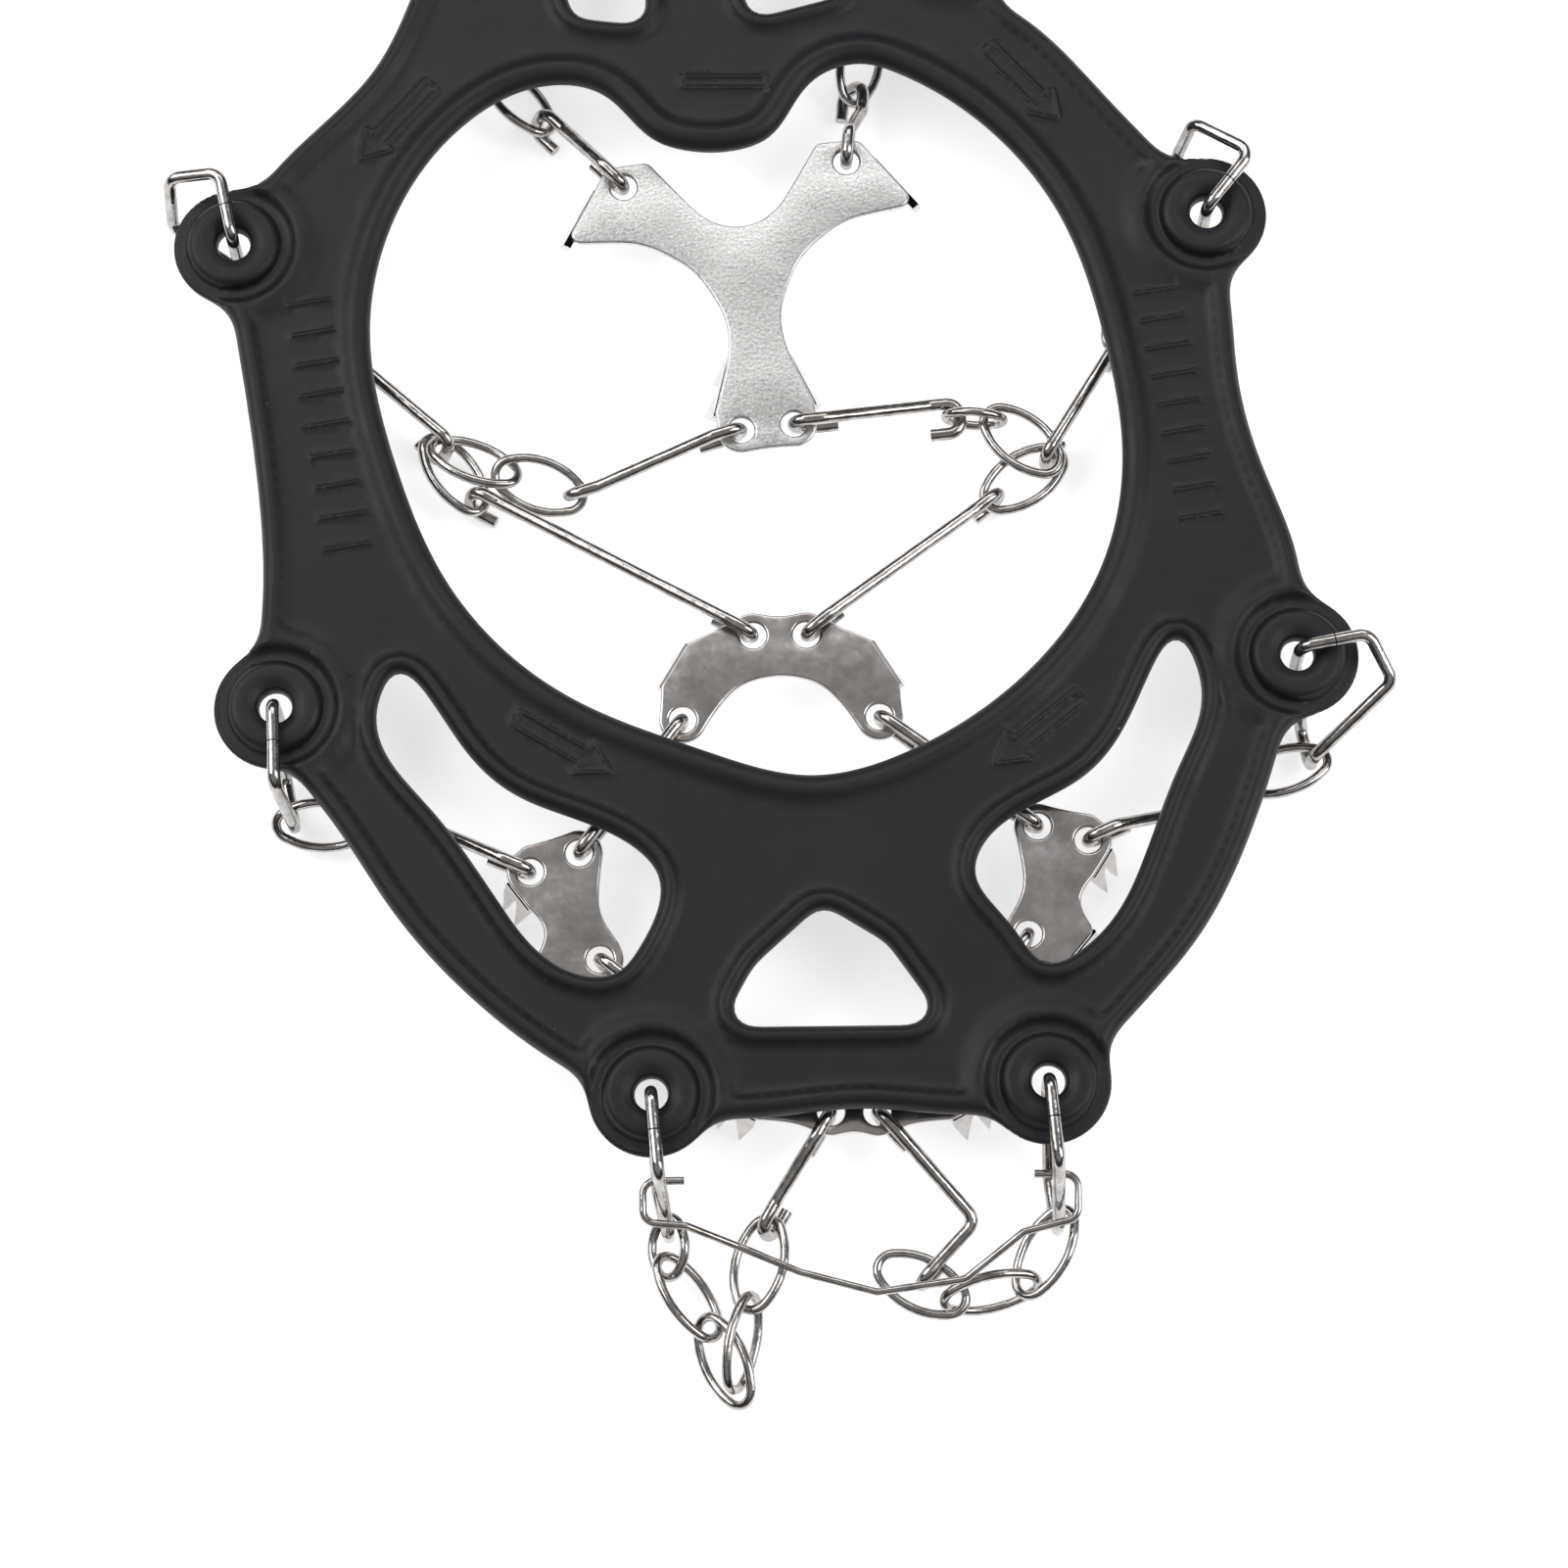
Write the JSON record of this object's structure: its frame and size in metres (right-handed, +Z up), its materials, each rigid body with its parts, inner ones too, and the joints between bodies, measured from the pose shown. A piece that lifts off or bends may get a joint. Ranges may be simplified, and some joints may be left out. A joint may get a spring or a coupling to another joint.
{
  "type": "microspikes",
  "caption": "Elastomer shoe harness with eyelets, carrying a net of steel chain links, bent wire hooks and toothed spike plates for walking on ice and packed snow.",
  "frame": {"origin": "centre of the bounding box's bottom face, level with the tips of the spikes", "axes": "+Y from toe to heel, +Z up through the harness as it lies on the ground, +X to the right when looking from the toe to the heel"},
  "size_m": [0.1916, 0.2578, 0.0209],
  "materials": {
    "elastomer": "satin moulded",
    "heel_plate_steel": "fine blasted",
    "plate_steel": "polished",
    "wire_steel": "polished"
  },
  "bodies": {
    "harness": {"harness": "elastomer"},
    "heel_plate": {"heel_plate": "heel_plate_steel"},
    "arch_plate": {"arch_plate": "plate_steel"},
    "toe_plate": {"toe_plate": "plate_steel"},
    "side_plate_left": {"side_plate_left": "plate_steel"},
    "side_plate_right": {"side_plate_right": "plate_steel"},
    "toe_left_upper_link_1": {"toe_left_upper_link_1": "wire_steel"},
    "toe_left_upper_link_2": {"toe_left_upper_link_2": "wire_steel"},
    "toe_left_upper_link_3": {"toe_left_upper_link_3": "wire_steel"},
    "toe_left_lower_link_1": {"toe_left_lower_link_1": "wire_steel"},
    "toe_left_lower_link_2": {"toe_left_lower_link_2": "wire_steel"},
    "toe_right_link_1": {"toe_right_link_1": "wire_steel"},
    "toe_right_link_2": {"toe_right_link_2": "wire_steel"},
    "toe_right_link_3": {"toe_right_link_3": "wire_steel"},
    "ball_left_link_1": {"ball_left_link_1": "wire_steel"},
    "ball_left_link_2": {"ball_left_link_2": "wire_steel"},
    "ball_right_link_1": {"ball_right_link_1": "wire_steel"},
    "ball_right_link_2": {"ball_right_link_2": "wire_steel"},
    "arch_left_link_1": {"arch_left_link_1": "wire_steel"},
    "arch_left_upper_link_1": {"arch_left_upper_link_1": "wire_steel"},
    "arch_left_upper_link_2": {"arch_left_upper_link_2": "wire_steel"},
    "arch_left_lower_link_1": {"arch_left_lower_link_1": "wire_steel"},
    "arch_right_link_1": {"arch_right_link_1": "wire_steel"},
    "arch_right_upper_link_1": {"arch_right_upper_link_1": "wire_steel"},
    "arch_right_upper_link_2": {"arch_right_upper_link_2": "wire_steel"},
    "arch_right_lower_link_1": {"arch_right_lower_link_1": "wire_steel"},
    "heel_left_link_1": {"heel_left_link_1": "wire_steel"},
    "heel_left_link_2": {"heel_left_link_2": "wire_steel"},
    "heel_right_link_1": {"heel_right_link_1": "wire_steel"},
    "heel_right_link_2": {"heel_right_link_2": "wire_steel"},
    "eyelet_link_toe_left": {"eyelet_link_toe_left": "wire_steel"},
    "eyelet_link_toe_right": {"eyelet_link_toe_right": "wire_steel"},
    "eyelet_link_ball_left": {"eyelet_link_ball_left": "wire_steel"},
    "eyelet_link_ball_right": {"eyelet_link_ball_right": "wire_steel"},
    "eyelet_link_arch_left": {"eyelet_link_arch_left": "wire_steel"},
    "eyelet_link_arch_right": {"eyelet_link_arch_right": "wire_steel"},
    "eyelet_link_heel_left": {"eyelet_link_heel_left": "wire_steel"},
    "eyelet_link_heel_right": {"eyelet_link_heel_right": "wire_steel"},
    "toe_hook_left": {"toe_hook_left": "wire_steel"},
    "toe_hook_right": {"toe_hook_right": "wire_steel"},
    "toe_side_hook_left": {"toe_side_hook_left": "wire_steel"},
    "toe_side_hook_right": {"toe_side_hook_right": "wire_steel"},
    "ball_hook_left": {"ball_hook_left": "wire_steel"},
    "ball_hook_right": {"ball_hook_right": "wire_steel"},
    "arch_side_hook_left": {"arch_side_hook_left": "wire_steel"},
    "arch_side_hook_right": {"arch_side_hook_right": "wire_steel"},
    "arch_hook_left": {"arch_hook_left": "wire_steel"},
    "arch_hook_right": {"arch_hook_right": "wire_steel"},
    "heel_down_hook_left": {"heel_down_hook_left": "wire_steel"},
    "heel_down_hook_right": {"heel_down_hook_right": "wire_steel"},
    "arch_ear_hook_left": {"arch_ear_hook_left": "wire_steel"},
    "arch_ear_hook_right": {"arch_ear_hook_right": "wire_steel"},
    "heel_hook_left": {"heel_hook_left": "wire_steel"},
    "heel_hook_right": {"heel_hook_right": "wire_steel"},
    "toe_wire": {"toe_wire": "wire_steel"}
  },
  "joints": [
    {"name": "heel_plate_rock", "type": "hinge", "parent": "harness", "child": "heel_plate", "pos_m": [-0.0132, 0.04498, 0.0094], "axis": [0.9925, 0.1219, 0], "range_deg": [-0.8, 0.8]},
    {"name": "arch_plate_rock", "type": "hinge", "parent": "harness", "child": "arch_plate", "pos_m": [-0.00866, -0.01581, 0.0094], "axis": [0.9998, 0.0175, 0], "range_deg": [-2, 2]},
    {"name": "toe_plate_rock", "type": "hinge", "parent": "harness", "child": "toe_plate", "pos_m": [0.00252, -0.08064, 0.0094], "axis": [1, 0, 0], "range_deg": [-3, 3]},
    {"name": "side_plate_left_rock", "type": "hinge", "parent": "harness", "child": "side_plate_left", "pos_m": [-0.03326, -0.0453, 0.0094], "axis": [0.4211, -0.907, 0], "range_deg": [-3, 3]},
    {"name": "side_plate_right_rock", "type": "hinge", "parent": "harness", "child": "side_plate_right", "pos_m": [0.04471, -0.04064, 0.0094], "axis": [-0.3239, -0.9461, 0], "range_deg": [-3, 3]},
    {"name": "toe_left_upper_link_1_roll", "type": "hinge", "parent": "harness", "child": "toe_left_upper_link_1", "pos_m": [-0.01558, -0.10414, 0.00475], "axis": [0, -0.9965, -0.083], "range_deg": [-4, 3]},
    {"name": "toe_left_upper_link_2_roll", "type": "hinge", "parent": "harness", "child": "toe_left_upper_link_2", "pos_m": [-0.01258, -0.11164, 0.00425], "axis": [0.5541, -0.8312, -0.0462], "range_deg": [-4, 4]},
    {"name": "toe_left_upper_link_3_roll", "type": "hinge", "parent": "harness", "child": "toe_left_upper_link_3", "pos_m": [-0.00708, -0.12139, 0.0045], "axis": [0.4284, -0.8995, 0.0857], "range_deg": [-4, 2]},
    {"name": "toe_left_lower_link_1_roll", "type": "hinge", "parent": "harness", "child": "toe_left_lower_link_1", "pos_m": [-0.00433, -0.11864, 0.005], "axis": [0.204, 0.979, 0], "range_deg": [-4, 4]},
    {"name": "toe_left_lower_link_2_roll", "type": "hinge", "parent": "harness", "child": "toe_left_lower_link_2", "pos_m": [-0.00183, -0.10664, 0.0045], "axis": [0.2033, 0.9757, -0.0813], "range_deg": [-4, 4]},
    {"name": "toe_right_link_1_roll", "type": "hinge", "parent": "harness", "child": "toe_right_link_1", "pos_m": [0.04142, -0.10489, 0.005], "axis": [-0.4637, -0.8811, -0.0927], "range_deg": [-4, 4]},
    {"name": "toe_right_link_2_roll", "type": "hinge", "parent": "harness", "child": "toe_right_link_2", "pos_m": [0.03317, -0.11089, 0.0045], "axis": [-0.9772, -0.2124, 0], "range_deg": [-4, 4]},
    {"name": "toe_right_link_3_roll", "type": "hinge", "parent": "harness", "child": "toe_right_link_3", "pos_m": [0.02267, -0.10964, 0.00425], "axis": [-0.884, 0.4652, -0.0465], "range_deg": [-4, 4]},
    {"name": "ball_left_link_1_roll", "type": "hinge", "parent": "harness", "child": "ball_left_link_1", "pos_m": [-0.06933, -0.03814, 0.005], "axis": [1, 0, 0], "range_deg": [-4, 4]},
    {"name": "ball_left_link_2_roll", "type": "hinge", "parent": "harness", "child": "ball_left_link_2", "pos_m": [-0.06008, -0.03814, 0.0045], "axis": [0.99, 0, -0.1414], "range_deg": [-4, 4]},
    {"name": "ball_right_link_1_roll", "type": "hinge", "parent": "harness", "child": "ball_right_link_1", "pos_m": [0.07917, -0.02939, 0.00475], "axis": [-0.9558, -0.2909, -0.0416], "range_deg": [-4, 4]},
    {"name": "ball_right_link_2_roll", "type": "hinge", "parent": "harness", "child": "ball_right_link_2", "pos_m": [0.07042, -0.03214, 0.00425], "axis": [-0.9457, -0.3152, -0.0788], "range_deg": [-4, 4]},
    {"name": "arch_left_link_1_roll", "type": "hinge", "parent": "harness", "child": "arch_left_link_1", "pos_m": [-0.07358, 0.04386, 0.0045], "axis": [0.7448, -0.6621, -0.0828], "range_deg": [-4, 4]},
    {"name": "arch_left_upper_link_1_roll", "type": "hinge", "parent": "harness", "child": "arch_left_upper_link_1", "pos_m": [-0.04683, 0.02086, 0.00525], "axis": [0.9336, -0.3556, -0.0445], "range_deg": [-1, 1]},
    {"name": "arch_left_upper_link_2_roll", "type": "hinge", "parent": "harness", "child": "arch_left_upper_link_2", "pos_m": [-0.03658, 0.01711, 0.00475], "axis": [0.9428, -0.33, -0.0471], "range_deg": [-4, 4]},
    {"name": "arch_left_lower_link_1_roll", "type": "hinge", "parent": "harness", "child": "arch_left_lower_link_1", "pos_m": [-0.05008, 0.01936, 0.0035], "axis": [0.5547, -0.8321, 0], "range_deg": [-1, 1]},
    {"name": "arch_right_link_1_roll", "type": "hinge", "parent": "harness", "child": "arch_right_link_1", "pos_m": [0.05767, 0.04611, 0.0045], "axis": [-0.4624, -0.8827, -0.0841], "range_deg": [-4, 4]},
    {"name": "arch_right_upper_link_1_roll", "type": "hinge", "parent": "harness", "child": "arch_right_upper_link_1", "pos_m": [0.03942, 0.02436, 0.00525], "axis": [-0.7517, 0.6578, -0.047], "range_deg": [-0.5, 0.5]},
    {"name": "arch_right_upper_link_2_roll", "type": "hinge", "parent": "harness", "child": "arch_right_upper_link_2", "pos_m": [0.03192, 0.02811, 0.005], "axis": [-0.9975, 0.0712, 0], "range_deg": [-4, 4]},
    {"name": "arch_right_lower_link_1_roll", "type": "hinge", "parent": "harness", "child": "arch_right_lower_link_1", "pos_m": [0.03967, 0.01861, 0.0036], "axis": [-0.8136, -0.5812, 0.0155], "range_deg": [-0.5, 0.5]},
    {"name": "heel_left_link_1_roll", "type": "hinge", "parent": "harness", "child": "heel_left_link_1", "pos_m": [-0.04083, 0.08236, 0.0045], "axis": [-0.6844, 0.7247, 0.0805], "range_deg": [-4, 4]},
    {"name": "heel_left_link_2_roll", "type": "hinge", "parent": "harness", "child": "heel_left_link_2", "pos_m": [-0.04808, 0.09186, 0.005], "axis": [-0.5145, 0.8575, 0], "range_deg": [-4, 4]},
    {"name": "heel_right_link_1_roll", "type": "hinge", "parent": "harness", "child": "heel_right_link_1", "pos_m": [0.01417, 0.08911, 0.00425], "axis": [0.2122, 0.9763, 0.0424], "range_deg": [-4, 4]},
    {"name": "heel_right_link_2_roll", "type": "hinge", "parent": "harness", "child": "heel_right_link_2", "pos_m": [0.01942, 0.09886, 0.00475], "axis": [0.7064, 0.7064, 0.0442], "range_deg": [-1.5, 4]},
    {"name": "eyelet_link_toe_left_swing", "type": "hinge", "parent": "harness", "child": "eyelet_link_toe_left", "pos_m": [-0.01808, -0.08274, 0.0147], "axis": [0.1129, -0.8828, -0.4561], "range_deg": [-6, 6]},
    {"name": "eyelet_link_toe_right_swing", "type": "hinge", "parent": "harness", "child": "eyelet_link_toe_right", "pos_m": [0.04172, -0.08074, 0.0147], "axis": [0.0729, -0.8939, -0.4422], "range_deg": [-6, 6]},
    {"name": "eyelet_link_ball_left_swing", "type": "hinge", "parent": "harness", "child": "eyelet_link_ball_left", "pos_m": [-0.07608, -0.02234, 0.0147], "axis": [0.1139, -0.8371, -0.5351], "range_deg": [-6, 6]},
    {"name": "eyelet_link_ball_right_swing", "type": "hinge", "parent": "harness", "child": "eyelet_link_ball_right", "pos_m": [0.08082, -0.01394, 0.0147], "axis": [0.1709, -0.7997, -0.5755], "range_deg": [-6, 6]},
    {"name": "eyelet_link_arch_left_swing", "type": "hinge", "parent": "harness", "child": "eyelet_link_arch_left", "pos_m": [-0.08448, 0.05306, 0.0147], "axis": [0.5263, -0.4324, -0.7322], "range_deg": [-6, 6]},
    {"name": "eyelet_link_arch_right_swing", "type": "hinge", "parent": "harness", "child": "eyelet_link_arch_right", "pos_m": [0.06832, 0.05846, 0.0147], "axis": [-0.5455, -0.5251, -0.6532], "range_deg": [-6, 6]},
    {"name": "eyelet_link_heel_left_swing", "type": "hinge", "parent": "harness", "child": "eyelet_link_heel_left", "pos_m": [-0.05008, 0.10886, 0.0147], "axis": [-0.0248, -0.7891, -0.6137], "range_deg": [-6, 6]},
    {"name": "eyelet_link_heel_right_swing", "type": "hinge", "parent": "harness", "child": "eyelet_link_heel_right", "pos_m": [0.02842, 0.10686, 0.0147], "axis": [-0.4611, -0.3817, -0.8011], "range_deg": [-3, 6]},
    {"name": "toe_hook_left_roll", "type": "hinge", "parent": "harness", "child": "toe_hook_left", "pos_m": [0.00902, -0.08424, 0.0094], "axis": [-0.4716, -0.8447, -0.2531], "range_deg": [-3, 3]},
    {"name": "toe_hook_right_roll", "type": "hinge", "parent": "harness", "child": "toe_hook_right", "pos_m": [0.01602, -0.08424, 0.0094], "axis": [0.2485, -0.9493, -0.1925], "range_deg": [-3, 3]},
    {"name": "toe_side_hook_left_roll", "type": "hinge", "parent": "harness", "child": "toe_side_hook_left", "pos_m": [-0.00508, -0.07704, 0.0094], "axis": [-0.7879, 0.6158, 0], "range_deg": [-3, 3]},
    {"name": "toe_side_hook_right_roll", "type": "hinge", "parent": "harness", "child": "toe_side_hook_right", "pos_m": [0.03012, -0.07704, 0.0094], "axis": [0.4075, 0.9132, 0], "range_deg": [-3, 3]},
    {"name": "ball_hook_left_roll", "type": "hinge", "parent": "harness", "child": "ball_hook_left", "pos_m": [-0.03699, -0.04679, 0.0094], "axis": [-0.9005, 0.3726, -0.2244], "range_deg": [-3, 3]},
    {"name": "ball_hook_right_roll", "type": "hinge", "parent": "harness", "child": "ball_hook_right", "pos_m": [0.04858, -0.04173, 0.0094], "axis": [0.8855, 0.3988, -0.2386], "range_deg": [-3, 3]},
    {"name": "arch_side_hook_left_roll", "type": "hinge", "parent": "harness", "child": "arch_side_hook_left", "pos_m": [-0.01375, -0.0226, 0.0094], "axis": [-0.5968, -0.8024, 0], "range_deg": [-3, 3]},
    {"name": "arch_side_hook_right_roll", "type": "hinge", "parent": "harness", "child": "arch_side_hook_right", "pos_m": [0.01665, -0.02207, 0.0094], "axis": [0.8105, -0.5858, 0], "range_deg": [-3, 3]},
    {"name": "arch_hook_left_roll", "type": "hinge", "parent": "harness", "child": "arch_hook_left", "pos_m": [-0.00293, -0.00901, 0.0094], "axis": [-0.8713, 0.4769, -0.1156], "range_deg": [-2, 2]},
    {"name": "arch_hook_right_roll", "type": "hinge", "parent": "harness", "child": "arch_hook_right", "pos_m": [0.00537, -0.00887, 0.0094], "axis": [0.768, 0.6239, -0.1448], "range_deg": [-3, 3]},
    {"name": "heel_down_hook_left_roll", "type": "hinge", "parent": "harness", "child": "heel_down_hook_left", "pos_m": [-0.0048, 0.02455, 0.0094], "axis": [-0.9355, -0.311, -0.1677], "range_deg": [-3, 3]},
    {"name": "heel_down_hook_right_roll", "type": "hinge", "parent": "harness", "child": "heel_down_hook_right", "pos_m": [0.00344, 0.02557, 0.0094], "axis": [0.9813, 0.1008, -0.1642], "range_deg": [-3, 3]},
    {"name": "arch_ear_hook_left_roll", "type": "hinge", "parent": "harness", "child": "arch_ear_hook_left", "pos_m": [-0.06997, 0.04065, 0.0041], "axis": [0.7175, -0.6964, 0.0141], "range_deg": [-3, 3]},
    {"name": "arch_ear_hook_right_roll", "type": "hinge", "parent": "harness", "child": "arch_ear_hook_right", "pos_m": [0.05543, 0.04183, 0.00409], "axis": [-0.5134, -0.8579, 0.0202], "range_deg": [-1, 1]},
    {"name": "heel_hook_left_roll", "type": "hinge", "parent": "harness", "child": "heel_hook_left", "pos_m": [-0.02354, 0.06517, 0.0094], "axis": [-0.6899, 0.6751, -0.2612], "range_deg": [-3, 3]},
    {"name": "heel_hook_right_roll", "type": "hinge", "parent": "harness", "child": "heel_hook_right", "pos_m": [0.01179, 0.06951, 0.0094], "axis": [0.0848, 0.9374, -0.3378], "range_deg": [-3, 3]},
    {"name": "toe_wire_swing", "type": "hinge", "parent": "harness", "child": "toe_wire", "pos_m": [-0.01608, -0.09874, 0.01295], "axis": [0.9999, 0.0103, -0.0103], "range_deg": [-25, 3]}
  ]
}
